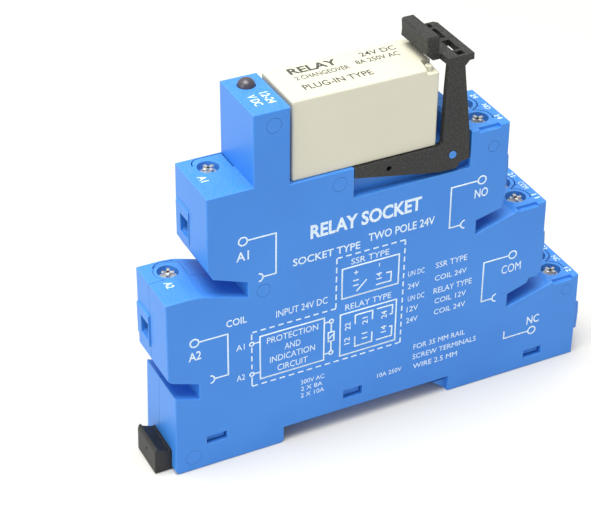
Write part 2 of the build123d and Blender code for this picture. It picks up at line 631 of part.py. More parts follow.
def build_nodes():
    front, rear = front_and_rear_shells()
    nodes = {"front_shell": front, "rear_shell": rear}
    for name, x, y, top, side in terminals():
        nodes[f"terminal_screw_{name}"] = terminal_screw(x, y, top)
        nodes[f"clamp_cage_{name}"] = clamp_cage(x, y, top)
    for tier, numbers in CONTACT_NUMBERS.items():
        for number, sign in zip(numbers, (-1, 1)):
            nodes[f"contact_strip_{number}"] = contact_strip(tier, sign)
    nodes["coil_strip_a1"] = coil_strip("a1", 1)
    nodes["coil_strip_a2"] = coil_strip("a2", -1)
    for sign, pole in ((-1, 1), (1, 2)):
        nodes[f"moving_contact_{pole}"] = moving_contact(sign)
        nodes[f"no_contact_{pole}"] = fixed_contact("no", sign)
        nodes[f"nc_contact_{pole}"] = fixed_contact("nc", sign)
    makers = (circuit_board, indicator_led, indicator_lens, bridge_rectifier, surge_diode, series_resistor,
              filter_capacitor, release_clip, rail_latch, latch_spring, relay_cover, relay_base, coil_pins,
              common_pins, coil_bobbin, coil_winding, iron_core, yoke, armature, pusher_card)
    for maker in makers:
        nodes[maker.__name__] = maker()
    return nodes


os.makedirs("parts", exist_ok=True)
for node, shape in build_nodes().items():
    export_step(shape, f"parts/{node}.step")
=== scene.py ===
import math

import bmesh
import bpy
from mathutils import Matrix, Vector


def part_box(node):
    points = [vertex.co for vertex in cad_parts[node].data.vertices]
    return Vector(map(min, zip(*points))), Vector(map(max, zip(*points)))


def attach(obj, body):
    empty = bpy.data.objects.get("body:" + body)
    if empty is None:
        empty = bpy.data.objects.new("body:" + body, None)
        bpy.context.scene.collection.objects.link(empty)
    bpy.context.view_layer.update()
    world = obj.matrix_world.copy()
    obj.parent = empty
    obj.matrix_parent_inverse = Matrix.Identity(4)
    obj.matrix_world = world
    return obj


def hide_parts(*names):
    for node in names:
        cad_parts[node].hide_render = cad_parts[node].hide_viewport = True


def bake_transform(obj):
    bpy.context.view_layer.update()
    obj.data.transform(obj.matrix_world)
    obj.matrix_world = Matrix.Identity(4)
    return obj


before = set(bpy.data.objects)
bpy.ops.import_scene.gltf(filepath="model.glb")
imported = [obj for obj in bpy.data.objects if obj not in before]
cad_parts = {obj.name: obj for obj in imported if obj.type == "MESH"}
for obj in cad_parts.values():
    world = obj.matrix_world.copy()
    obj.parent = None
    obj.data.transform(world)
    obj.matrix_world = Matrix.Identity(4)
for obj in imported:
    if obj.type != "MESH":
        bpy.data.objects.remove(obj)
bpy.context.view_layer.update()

MM = 0.001


# ---- the bench, the light and the camera ----
# The relay stands on a pale bench under soft light from the upper left.
# The bench is not part of the object.
BENCH_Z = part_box("front_shell")[0].z
BENCH_HALF = 3.0

bench_mesh = bpy.data.meshes.new("bench")
bench_corners = ((-1, -1), (1, -1), (1, 1), (-1, 1))
bench_points = [(x * BENCH_HALF, y * BENCH_HALF, BENCH_Z) for x, y in bench_corners]
bench_mesh.from_pydata(bench_points, [], [(0, 1, 2, 3)])
bench = bpy.data.objects.new("bench", bench_mesh)
bpy.context.collection.objects.link(bench)
bench_paint = bpy.data.materials.new("bench_paint")
bench_paint.use_nodes = True
bench_shader = bench_paint.node_tree.nodes["Principled BSDF"]
bench_shader.inputs["Base Color"].default_value = (0.66, 0.65, 0.66, 1)
bench_shader.inputs["Roughness"].default_value = 0.9
bench_shader.inputs["Specular IOR Level"].default_value = 0.0
bench_mesh.materials.append(bench_paint)

bpy.context.scene.view_settings.view_transform = "Standard"
sky = bpy.data.worlds.new("soft_sky")
sky.use_nodes = True
sky.node_tree.nodes["Background"].inputs["Color"].default_value = (1.0, 1.0, 1.0, 1)
sky.node_tree.nodes["Background"].inputs["Strength"].default_value = 0.55
bpy.context.scene.world = sky


def soft_light(name, place, aim, size, power):
    """A square soft box, slightly warm, turned towards a point above the bench."""
    lamp = bpy.data.lights.new(name, "AREA")
    lamp.size = size
    lamp.energy = power
    lamp.color = (1.0, 1.0, 0.90)
    holder = bpy.data.objects.new(name, lamp)
    holder.location = place
    holder.rotation_mode = "QUATERNION"
    holder.rotation_quaternion = (Vector(aim) - Vector(place)).to_track_quat("-Z", "Y")
    bpy.context.collection.objects.link(holder)


soft_light("overhead_box", place=(-0.12, -0.05, 0.75), aim=(0, 0, 0.03), size=0.55, power=8.0)
soft_light("left_box", place=(-0.70, -0.15, 0.30), aim=(0, 0, 0.04), size=0.45, power=2.0)

EYE_PLACE = (-0.13824, -0.25201, 0.22344)
EYE_FOCAL = 111.24
eye = bpy.data.cameras.new("eye")
eye.lens = EYE_FOCAL
eye.sensor_width = 36.0
eye.clip_start = 0.01
eye.clip_end = 20.0
camera = bpy.data.objects.new("camera", eye)
SEEN_RIGHT = Vector((0.896288, -0.443447, 0.004844))
SEEN_UP = Vector((0.244961, 0.504157, 0.828142))
SEEN_BACK = Vector((-0.369679, -0.741067, 0.560497))
camera_turn = Matrix((SEEN_RIGHT, SEEN_UP, SEEN_BACK)).transposed().to_4x4()
camera.matrix_world = Matrix.Translation(EYE_PLACE) @ camera_turn
bpy.context.collection.objects.link(camera)
bpy.context.scene.camera = camera


# ---- housing shells ----
# Two shells moulded in blue glass-filled polyamide and snapped together down the middle.
# The mould leaves a fine satin grain; handling rubs the corners a little paler.
GRAIN_HEIGHT = 0.00003
DUST_COLOUR = (0.75, 0.74, 0.72)
MIX_UNDER, MIX_OVER, MIX_RESULT = 6, 7, 2    # the colour sockets of a Mix node


def wire(tree, source, output, target, entry):
    tree.links.new(source.outputs[output], target.inputs[entry])


def feed(tree, value, target, entry):
    """Put a number on a socket, or wire a (node, output) pair to it."""
    if isinstance(value, tuple):
        wire(tree, *value, target, entry)
    else:
        target.inputs[entry].default_value = value


def shader_group(name, entries, results):
    group = bpy.data.node_groups.new(name, "ShaderNodeTree")
    for label, kind, value in entries:
        group.interface.new_socket(label, in_out="INPUT", socket_type=kind).default_value = value
    for label, kind in results:
        group.interface.new_socket(label, in_out="OUTPUT", socket_type=kind)
    return group, group.nodes.new("NodeGroupInput"), group.nodes.new("NodeGroupOutput")


def noise(tree, scale, detail, roughness=0.5):
    place = tree.nodes.new("ShaderNodeTexCoord")
    cloud = tree.nodes.new("ShaderNodeTexNoise")
    cloud.inputs["Scale"].default_value = scale
    cloud.inputs["Detail"].default_value = detail
    cloud.inputs["Roughness"].default_value = roughness
    wire(tree, place, "Object", cloud, "Vector")
    return cloud


def maths(tree, operation, first, second=0.0):
    step = tree.nodes.new("ShaderNodeMath")
    step.operation = operation
    feed(tree, first, step, 0)
    feed(tree, second, step, 1)
    return step


def spread(tree, source, output, low, high, new_low, new_high):
    """Stretch the part of a value between low and high to new_low and new_high."""
    band = tree.nodes.new("ShaderNodeMapRange")
    wire(tree, source, output, band, "Value")
    for entry, value in zip(("From Min", "From Max", "To Min", "To Max"), (low, high, new_low, new_high)):
        band.inputs[entry].default_value = value
    return band


def mould_grain_group():
    """Grain left by the mould, over corners rounded by the tool."""
    group, given, result = shader_group(
        "mould_grain",
        [("Grain per metre", "NodeSocketFloat", 6000.0), ("Depth", "NodeSocketFloat", 0.3),
         ("Corner radius", "NodeSocketFloat", 0.0001)],
        [("Normal", "NodeSocketVector"), ("Fleck", "NodeSocketFloat")])
    cloud = noise(group, 6000.0, 2.0, 0.6)
    wire(group, given, "Grain per metre", cloud, "Scale")
    corner = group.nodes.new("ShaderNodeBevel")
    corner.samples = 4
    wire(group, given, "Corner radius", corner, "Radius")
    bump = group.nodes.new("ShaderNodeBump")
    bump.inputs["Distance"].default_value = GRAIN_HEIGHT
    wire(group, given, "Depth", bump, "Strength")
    wire(group, cloud, "Fac", bump, "Height")
    wire(group, corner, "Normal", bump, "Normal")
    wire(group, bump, "Normal", result, "Normal")
    wire(group, cloud, "Fac", result, "Fleck")
    return group


def rubbed_edge_group():
    """Where hands and tools have rubbed the corners."""
    group, given, result = shader_group(
        "rubbed_edge", [("Reach", "NodeSocketFloat", 0.0003), ("Amount", "NodeSocketFloat", 1.0)],
        [("Mask", "NodeSocketFloat")])
    corner = group.nodes.new("ShaderNodeBevel")
    corner.samples = 4
    wire(group, given, "Reach", corner, "Radius")
    face = group.nodes.new("ShaderNodeNewGeometry")
    dot = group.nodes.new("ShaderNodeVectorMath")
    dot.operation = "DOT_PRODUCT"
    wire(group, corner, "Normal", dot, 0)
    wire(group, face, "Normal", dot, 1)
    turned = maths(group, "SUBTRACT", 1.0, (dot, "Value"))
    patchy = noise(group, 900.0, 3.0)
    worn = maths(group, "MULTIPLY", (turned, 0), (patchy, "Fac"))
    band = spread(group, worn, 0, 0.02, 0.12, 0.0, 1.0)
    scaled = maths(group, "MULTIPLY", (band, "Result"), 1.0)
    wire(group, given, "Amount", scaled, 1)
    wire(group, scaled, 0, result, "Mask")
    return group


def settled_dust_group():
    """Fine dust on what faces up."""
    group, given, result = shader_group(
        "settled_dust", [("Amount", "NodeSocketFloat", 0.2)], [("Mask", "NodeSocketFloat")])
    place = group.nodes.new("ShaderNodeTexCoord")
    parts = group.nodes.new("ShaderNodeSeparateXYZ")
    wire(group, place, "Normal", parts, "Vector")
    up = spread(group, parts, "Z", 0.2, 1.0, 0.0, 1.0)
    speck = noise(group, 2600.0, 4.0, 0.7)
    speck_band = spread(group, speck, "Fac", 0.45, 0.75, 0.0, 1.0)
    dusty = maths(group, "MULTIPLY", (up, "Result"), (speck_band, "Result"))
    scaled = maths(group, "MULTIPLY", (dusty, 0), 1.0)
    wire(group, given, "Amount", scaled, 1)
    wire(group, scaled, 0, result, "Mask")
    return group


mould_grain = mould_grain_group()
rubbed_edge = rubbed_edge_group()
settled_dust = settled_dust_group()


def placed_group(tree, group, **values):
    node = tree.nodes.new("ShaderNodeGroup")
    node.node_tree = group
    for label, value in values.items():
        node.inputs[label.replace("_", " ")].default_value = value
    return node


def tinted(tree, mask, output, under, over):
    """Under, turning to over where the mask is 1. Each is a colour or a (node, output) pair."""
    mix = tree.nodes.new("ShaderNodeMix")
    mix.data_type = "RGBA"
    wire(tree, mask, output, mix, "Factor")
    for entry, colour in ((MIX_UNDER, under), (MIX_OVER, over)):
        if len(colour) == 2:
            wire(tree, *colour, mix, entry)
        else:
            mix.inputs[entry].default_value = (*colour, 1)
    return mix, MIX_RESULT


def moulded_plastic(name, colour, deeper, rubbed, grain, depth, shine, radius, wear, dust, fleck=0.0):
    """A moulded plastic: uneven pigment, grain, rubbed corners and a little dust; radius in millimetres."""
    material = bpy.data.materials.new(name)
    material.use_nodes = True
    tree = material.node_tree
    shader = tree.nodes["Principled BSDF"]
    pigment = noise(tree, 55.0, 4.0)
    pigment_band = spread(tree, pigment, "Fac", 0.35, 0.65, 0.0, 1.0)
    base = tinted(tree, pigment_band, "Result", colour, deeper)
    skin = placed_group(tree, mould_grain, Grain_per_metre=grain, Depth=depth, Corner_radius=radius * MM)
    fleck_band = spread(tree, skin, "Fleck", 0.50, 0.64, 0.0, fleck)
    flecked = tinted(tree, fleck_band, "Result", base, rubbed)
    edge = placed_group(tree, rubbed_edge, Reach=radius * MM * 2.0, Amount=wear)
    edged = tinted(tree, edge, "Mask", flecked, rubbed)
    film = placed_group(tree, settled_dust, Amount=dust)
    dusted = tinted(tree, film, "Mask", edged, DUST_COLOUR)
    wire(tree, *dusted, shader, "Base Color")
    rough = spread(tree, skin, "Fleck", 0.3, 0.7, shine - 0.05, shine + 0.07)
    rougher = maths(tree, "ADD", (rough, "Result"), (film, "Mask"))
    wire(tree, rougher, 0, shader, "Roughness")
    wire(tree, skin, "Normal", shader, "Normal")
    shader.inputs["Specular IOR Level"].default_value = 0.45
    return material


def finish_node(material, *names):
    """Give a CAD piece its material."""
    for name in names:
        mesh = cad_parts[name].data
        mesh.materials.clear()
        mesh.materials.append(material)


blue_polyamide = moulded_plastic(
    "blue_polyamide", colour=(0.041, 0.236, 0.735), deeper=(0.036, 0.216, 0.700), rubbed=(0.14, 0.43, 0.88),
    grain=9000.0, depth=0.25, shine=0.42, radius=0.16, wear=0.55, dust=0.11)
finish_node(blue_polyamide, "front_shell", "rear_shell")


# ---- marks printed on the front shell ----
# White pad-printed ink: the wiring symbols of each terminal and the words beside them.
# Each stroke is a thin film of ink on the face.
PIN_PROUD = 0.03 * MM              # the clip's pivot pins stand proud of the broad sides
FACE_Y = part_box("front_shell")[0].y + PIN_PROUD
INK_LIFT = 0.016 * MM
INK_SINK = 0.03 * MM
STROKE = 0.30 * MM
HALF_STROKE = STROKE / MM / 2 + 0.01
TERMINAL_RING, SMALL_RING = 0.85, 0.42
DASH, DASH_GAP = 1.15, 0.75


def uneven_film(name, thin, full, cloud, low, high, roughness):
    """A film of uneven depth, from its thin colour to its full one; cloud is (per metre, detail)."""
    material = bpy.data.materials.new(name)
    material.use_nodes = True
    tree = material.node_tree
    shader = tree.nodes["Principled BSDF"]
    cover = spread(tree, noise(tree, *cloud), "Fac", low, high, 0.0, 1.0)
    wire(tree, *tinted(tree, cover, "Result", thin, full), shader, "Base Color")
    shader.inputs["Roughness"].default_value = roughness
    return material


white_ink = uneven_film("white_ink", (0.50, 0.70, 0.93), (0.80, 0.89, 0.97), (4200.0, 3.0), 0.30, 0.62, 0.55)


def ribbon_tree():
    """Every run of edges becomes one flat ribbon of ink, drawn in X and Y and then stood on the face."""
    tree = bpy.data.node_groups.new("printed_line", "GeometryNodeTree")
    tree.interface.new_socket("Geometry", in_out="INPUT", socket_type="NodeSocketGeometry")
    for label in ("Stroke width", "Ink thickness", "Face y"):
        tree.interface.new_socket(label, in_out="INPUT", socket_type="NodeSocketFloat")
    tree.interface.new_socket("Ink", in_out="INPUT", socket_type="NodeSocketMaterial")
    tree.interface.new_socket("Geometry", in_out="OUTPUT", socket_type="NodeSocketGeometry")
    given, result = tree.nodes.new("NodeGroupInput"), tree.nodes.new("NodeGroupOutput")
    line = tree.nodes.new("GeometryNodeMeshToCurve")
    wire(tree, given, "Geometry", line, "Mesh")
    flat = tree.nodes.new("GeometryNodeSetCurveNormal")
    flat.mode = "Z_UP"
    wire(tree, line, "Curve", flat, "Curve")
    widen = tree.nodes.new("GeometryNodeInputNamedAttribute")
    widen.data_type = "FLOAT"
    widen.inputs["Name"].default_value = "widen"
    profile = tree.nodes.new("GeometryNodeCurvePrimitiveQuadrilateral")
    wire(tree, given, "Stroke width", profile, "Width")
    wire(tree, given, "Ink thickness", profile, "Height")
    ribbon = tree.nodes.new("GeometryNodeCurveToMesh")
    ribbon.inputs["Fill Caps"].default_value = True
    wire(tree, flat, "Curve", ribbon, "Curve")
    wire(tree, profile, "Curve", ribbon, "Profile Curve")
    wire(tree, widen, 0, ribbon, "Scale")
    stand = tree.nodes.new("GeometryNodeTransform")
    place = tree.nodes.new("ShaderNodeCombineXYZ")
    wire(tree, given, "Face y", place, "Y")
    wire(tree, ribbon, "Mesh", stand, "Geometry")
    wire(tree, place, "Vector", stand, "Translation")
    stand.inputs["Rotation"].default_value = (math.pi / 2, 0, 0)
    real = tree.nodes.new("GeometryNodeRealizeInstances")
    wire(tree, stand, "Geometry", real, "Geometry")
    paint = tree.nodes.new("GeometryNodeSetMaterial")
    wire(tree, real, "Geometry", paint, "Geometry")
    wire(tree, given, "Ink", paint, "Material")
    wire(tree, paint, "Geometry", result, "Geometry")
    return tree


def settle(piece, tree, **values):
    """Run a Geometry Nodes tree on a piece and keep the plain mesh it makes."""
    modifier = piece.modifiers.new("maker", "NODES")
    modifier.node_group = tree
    for item in tree.interface.items_tree:
        key = item.name.replace(" ", "_")
        if item.item_type == "SOCKET" and item.in_out == "INPUT" and key in values:
            modifier[item.identifier] = values[key]
    bpy.context.view_layer.update()
    seen = piece.evaluated_get(bpy.context.evaluated_depsgraph_get())
    mesh = bpy.data.meshes.new_from_object(seen)
    piece.modifiers.clear()
    piece.data = mesh
    return piece


front_lines = []


def trimmed(start, end, cut):
    """The start of a line, moved towards its end by cut."""
    length = math.dist(start, end)
    return tuple(a + (b - a) * cut / length for a, b in zip(start, end))


def path(*points, cut=(0.0, 0.0)):
    """One unbroken line; cut shortens its ends so that it stops at the edge of what it meets."""
    points = list(points)
    points[0] = trimmed(points[0], points[1], cut[0])
    points[-1] = trimmed(points[-1], points[-2], cut[1])
    front_lines.append((points, False))


def loop(*points):
    front_lines.append((list(points), True))


def arc(x, z, radius, start, sweep, steps):
    turns = [math.radians(start + sweep * i / steps) for i in range(steps + 1)]
    return [(x + radius * math.cos(a), z + radius * math.sin(a)) for a in turns]


def ring(x, z, radius, steps):
    loop(*arc(x, z, radius, 0, 360, steps)[:-1])


def frame_line(x0, z0, x1, z1):
    loop((x0, z0), (x1, z0), (x1, z1), (x0, z1))


def dashes(*points):
    """A dashed line with a whole number of dashes on each side."""
    for (x0, z0), (x1, z1) in zip(points, points[1:]):
        length = math.hypot(x1 - x0, z1 - z0)
        count = max(1, round((length + DASH_GAP) / (DASH + DASH_GAP)))
        step = (length + DASH_GAP) / count
        for i in range(count):
            a, b = i * step / length, (i * step + step - DASH_GAP) / length
            path((x0 + (x1 - x0) * a, z0 + (z1 - z0) * a), (x0 + (x1 - x0) * b, z0 + (z1 - z0) * b),
                 cut=(0.0 if i else HALF_STROKE, 0.0))


def terminal_symbol(x, z, elbow_x, elbow_z, end_x=None, side=1):
    """A terminal's ring, with its line to the open half circle that stands for a socket contact."""
    ring(x, z, TERMINAL_RING, 24)
    near = x + math.copysign(TERMINAL_RING, elbow_x - x)
    if end_x is None:
        path((near, z), (elbow_x, z), (elbow_x, elbow_z), cut=(HALF_STROKE, 0.0))
        return
    path((near, z), (elbow_x, z), (elbow_x, elbow_z), (end_x, elbow_z), cut=(HALF_STROKE, HALF_STROKE))
    path(*arc(end_x + side * TERMINAL_RING, elbow_z, TERMINAL_RING, 90 if side > 0 else -90, 180, 12))


terminal_symbol(-26.4, 45.2, -19.9, 36.5, -22.5, -1)
terminal_symbol(-36.3, 26.0, -29.7, 16.7, -32.5, -1)
terminal_symbol(22.9, 44.8, 16.3, 35.9, 18.8, 1)
terminal_symbol(31.2, 25.5, 24.7, 16.3, 27.2, 1)
terminal_symbol(37.3, 5.4, 30.7, 7.2)

# coil protection box, its four terminals and the coil
frame_line(-23.2, 13.5, -9.9, 23.3)
for x, z, edge in ((-24.9, 22.1, -23.2), (-24.9, 15.1, -23.2), (-8.4, 22.1, -9.9), (-8.4, 14.8, -9.9)):
    ring(x, z, SMALL_RING, 16)
    path((x + math.copysign(SMALL_RING, edge - x), z), (edge, z), cut=(HALF_STROKE, HALF_STROKE))
frame_line(-9.0, 17.5, -7.8, 19.6)
path((-8.4, 22.1 - SMALL_RING), (-8.4, 19.6), cut=(HALF_STROKE, HALF_STROKE))
path((-8.4, 17.5), (-8.4, 14.8 + SMALL_RING), cut=(HALF_STROKE, HALF_STROKE))
path((-9.0, 18.0), (-7.8, 19.1), cut=(1.4 * HALF_STROKE, 1.4 * HALF_STROKE))

# the dashed outline of what plugs in
dashes((-24.9, 24.7), (-7.5, 24.7), (-7.5, 36.0), (6.9, 36.0), (6.7, 12.3), (-24.9, 12.3), (-24.9, 14.4))
dashes((-24.9, 16.2), (-24.9, 21.3))
dashes((-24.9, 22.9), (-24.9, 24.4))

# solid-state output box and changeover contact box
frame_line(-6.3, 26.5, 5.7, 33.2)
frame_line(-6.5, 13.3, 5.5, 22.9)
path((-3.2, 27.4), (-1.1, 29.5))
path((3.0, 29.7), (4.1, 29.7), (4.1, 27.6), (0.9, 27.6))
for low, high in ((19.8, 21.9), (16.9, 14.6)):
    path((-3.3, low), (-3.3, high), (0.4, high), (0.4, low))
    path((1.3, high), (4.7, high), (4.7, low), (4.1, low))


def lines_piece(name, lines):
    """Loose edges for the ribbon tree, with how far each corner must widen to stay mitred."""
    points, edges, widths = [], [], []
    for line, closed in lines:
        first, count = len(points), len(line)
        for i, here in enumerate(line):
            inner = closed or 0 < i < count - 1
            before, after = line[i - 1], line[(i + 1) % count]
            turn = 0.0
            if inner:
                turn = math.atan2(here[1] - before[1], here[0] - before[0])
                turn -= math.atan2(after[1] - here[1], after[0] - here[0])
            points.append((here[0] * MM, here[1] * MM, 0.0))
            widths.append(1.0 / max(abs(math.cos(turn / 2)), 0.5))
        edges += [(first + i, first + i + 1) for i in range(count - 1)]
        if closed:
            edges.append((first + count - 1, first))
    mesh = bpy.data.meshes.new(name)
    mesh.from_pydata(points, edges, [])
    mesh.attributes.new("widen", "FLOAT", "POINT").data.foreach_set("value", widths)
    piece = bpy.data.objects.new(name, mesh)
    bpy.context.collection.objects.link(piece)
    return piece


wiring_marks = lines_piece("wiring_marks", front_lines)
settle(wiring_marks, ribbon_tree(), Stroke_width=STROKE, Ink_thickness=INK_LIFT + INK_SINK,
       Face_y=FACE_Y - (INK_LIFT - INK_SINK) / 2, Ink=white_ink)
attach(wiring_marks, "socket")


def lettering(words, cap, width, bold):
    """Flat letters with their middle at 0, 0, cap millimetres tall and width wide, as points and faces."""
    curve = bpy.data.curves.new("letters", "FONT")
    curve.body = words
    curve.align_x = "CENTER"
    curve.resolution_u = 3
    curve.extrude = 0.5
    curve.offset = bold
    holder = bpy.data.objects.new("letters", curve)
    bpy.context.collection.objects.link(holder)
    bpy.context.view_layer.update()
    mesh = bpy.data.meshes.new_from_object(holder.evaluated_get(bpy.context.evaluated_depsgraph_get()))
    bpy.data.objects.remove(holder)
    xs = [v.co.x for v in mesh.vertices]
    ys = [v.co.y for v in mesh.vertices]
    tall = cap / (max(ys) - min(ys))
    wide = width / (max(xs) - min(xs))
    mid_x, mid_y = (max(xs) + min(xs)) / 2, (max(ys) + min(ys)) / 2
    points = [((v.co.x - mid_x) * wide, (v.co.y - mid_y) * tall, v.co.z) for v in mesh.vertices]
    return points, [tuple(p.vertices) for p in mesh.polygons]


def printed_words(name, lines, origin, across, up, material, body):
    """Lines of (words, across, up, cap, width, turned, bold) laid on a flat face as thin ink."""
    across, up = Vector(across), Vector(up)
    out = across.cross(up)
    points, faces = [], []
    for words, x, y, cap, width, turned, bold in lines:
        letter_points, letter_faces = lettering(words, cap, width, bold)
        first = len(points)
        c, s = math.cos(math.radians(turned)), math.sin(math.radians(turned))
        for px, py, pz in letter_points:
            flat = across * ((x + c * px - s * py) * MM) + up * ((y + s * px + c * py) * MM)
            lift = INK_LIFT if pz > 0 else -INK_SINK
            points.append(Vector(origin) + flat + out * lift)
        faces += [tuple(first + i for i in f) for f in letter_faces]
    mesh = bpy.data.meshes.new(name)
    mesh.from_pydata(points, [], faces)
    mesh.materials.append(material)
    piece = bpy.data.objects.new(name, mesh)
    bpy.context.collection.objects.link(piece)
    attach(piece, body)


THIN, PLAIN, HEAVY = 0.0, 0.012, 0.03
front_words = [
    ("A1", -26.5, 42.1, 1.95, 2.5, 0, PLAIN), ("A2", -36.3, 23.1, 1.95, 2.5, 0, PLAIN),
    ("NO", 22.9, 42.0, 1.95, 2.9, 0, PLAIN), ("COM", 31.1, 22.5, 1.95, 4.4, 0, THIN),
    ("NC", 37.4, 8.1, 1.95, 2.9, 0, PLAIN), ("COIL", -27.9, 28.2, 1.55, 4.1, 0, PLAIN),
    ("A1", -27.2, 22.1, 1.3, 1.7, 0, THIN), ("A2", -27.2, 15.1, 1.3, 1.7, 0, THIN),
    ("PROTECTION", -16.5, 21.8, 1.4, 10.6, 0, THIN), ("AND", -16.5, 19.4, 1.4, 3.3, 0, THIN),
    ("INDICATION", -16.5, 17.2, 1.4, 9.4, 0, THIN), ("CIRCUIT", -16.5, 14.9, 1.4, 6.3, 0, THIN),
    ("SSR TYPE", -0.5, 34.4, 1.3, 8.0, 0, THIN), ("RELAY TYPE", -0.6, 24.3, 1.3, 9.8, 0, THIN),
    ("11", -3.4, 29.4, 1.2, 1.4, 90, PLAIN), ("+", -3.4, 31.7, 0.9, 0.9, 90, PLAIN),
    ("14", 1.5, 29.5, 1.2, 1.5, 90, PLAIN), ("-", 1.5, 32.0, 0.2, 0.8, 90, PLAIN),
    ("22", -4.9, 19.8, 1.2, 1.7, 90, PLAIN), ("21", -1.2, 20.0, 1.2, 1.6, 90, PLAIN),
    ("24", 2.9, 20.1, 1.2, 1.7, 90, PLAIN), ("12", -5.0, 16.4, 1.2, 1.6, 90, PLAIN),
    ("11", -1.2, 16.5, 1.2, 1.4, 90, PLAIN), ("14", 2.9, 16.7, 1.2, 1.6, 90, PLAIN),
    ("RELAY SOCKET", -1.5, 43.3, 3.0, 23.0, 0, HEAVY),
    ("SOCKET TYPE", -9.6, 37.7, 1.6, 13.8, 0, PLAIN), ("TWO POLE 24V", 6.0, 38.7, 1.75, 14.0, 0, PLAIN),
    ("UN DC", 9.6, 27.9, 1.2, 3.6, 0, THIN), ("SSR TYPE", 17.3, 28.1, 1.3, 6.9, 0, THIN),
    ("24V", 9.1, 25.0, 1.2, 2.5, 0, THIN), ("COIL 24V", 17.3, 25.1, 1.2, 7.0, 0, THIN),
    ("UN DC", 9.8, 22.1, 1.2, 3.6, 0, THIN), ("RELAY TYPE", 17.9, 22.2, 1.3, 8.5, 0, THIN),
    ("12V", 9.1, 19.6, 1.2, 2.5, 0, THIN), ("COIL 12V", 17.5, 19.7, 1.2, 7.0, 0, THIN),
    ("24V", 9.1, 17.0, 1.2, 2.5, 0, THIN), ("COIL 24V", 17.5, 17.1, 1.2, 7.0, 0, THIN),
    ("INPUT 24V DC", -14.6, 27.3, 1.5, 10.6, 0, THIN),
    ("300V AC", -12.2, 9.7, 1.0, 5.0, 0, THIN), ("2 X 8A", -12.4, 8.1, 1.0, 4.6, 0, THIN),
    ("2 X 10A", -12.2, 6.5, 1.0, 5.0, 0, THIN), ("10A 250V", 4.6, 5.7, 1.0, 5.4, 0, THIN),
    ("FOR 35 MM RAIL", 15.6, 10.1, 1.2, 11.6, 0, THIN), ("SCREW TERMINALS", 16.9, 7.7, 1.2, 14.4, 0, THIN),
    ("WIRE 2.5 MM", 14.9, 5.3, 1.2, 10.0, 0, THIN),
]
printed_words("front_lettering", front_words, (0, FACE_Y, 0), (1, 0, 0), (0, 0, 1), white_ink,
              "socket")


# ---- terminal screws ----
# M3 steel screws, nickel plated, with a slot and cross recess; they are sunk in the tier tops.
# Each turns in its own clamp cage.
RECESS_TURN = {"a1": 18, "a2": -25, "14": 8, "24": 40, "11": -14, "21": 30, "12": 22, "22": -8}
HEAD_DOWN = 1.2 * MM                 # from a tier's top down to the head
THREAD_DEEP, RIDGE_RADIUS = 0.22 * MM, 0.2 * MM
SHANK_LAP = 0.2 * MM                 # how far the shank runs up into the head
SLOT_LENGTH = 10 * MM                # longer than the head is wide
PIT_LOW, PIT_HIGH, PIT_HEIGHT, PIT_Z = 0.2 * MM, 0.8 * MM, 2.4 * MM, -1.3 * MM


def plated_metal(name, colour, dull, shine, scratch=0.4):
    """Plated or rolled metal with fine scratches and duller patches."""
    material = bpy.data.materials.new(name)
    material.use_nodes = True
    tree = material.node_tree
    shader = tree.nodes["Principled BSDF"]
    patch = noise(tree, 700.0, 4.0)
    patch_band = spread(tree, patch, "Fac", 0.35, 0.7, 0.0, 1.0)
    base = tinted(tree, patch_band, "Result", colour, dull)
    wire(tree, *base, shader, "Base Color")
    rough = spread(tree, patch, "Fac", 0.3, 0.7, shine - 0.06, shine + 0.10)
    wire(tree, rough, "Result", shader, "Roughness")
    skin = placed_group(tree, mould_grain, Grain_per_metre=12000.0, Depth=scratch, Corner_radius=0.00006)
    wire(tree, skin, "Normal", shader, "Normal")
    shader.inputs["Metallic"].default_value = 1.0
    return material


nickel = plated_metal("nickel_plate", (0.86, 0.85, 0.82), (0.68, 0.66, 0.61), 0.44)


def cone(tree, low_radius, high_radius, height, low_z, sides=48):
    """A frustum standing at low_z, each value a number or a (node, output) pair."""
    solid = tree.nodes.new("GeometryNodeMeshCone")
    solid.inputs["Vertices"].default_value = sides
    for entry, value in (("Radius Top", high_radius), ("Radius Bottom", low_radius), ("Depth", height)):
        feed(tree, value, solid, entry)
    move = tree.nodes.new("GeometryNodeTransform")
    lift = tree.nodes.new("ShaderNodeCombineXYZ")
    feed(tree, low_z, lift, "Z")
    wire(tree, solid, "Mesh", move, "Geometry")
    wire(tree, lift, "Vector", move, "Translation")
    return move


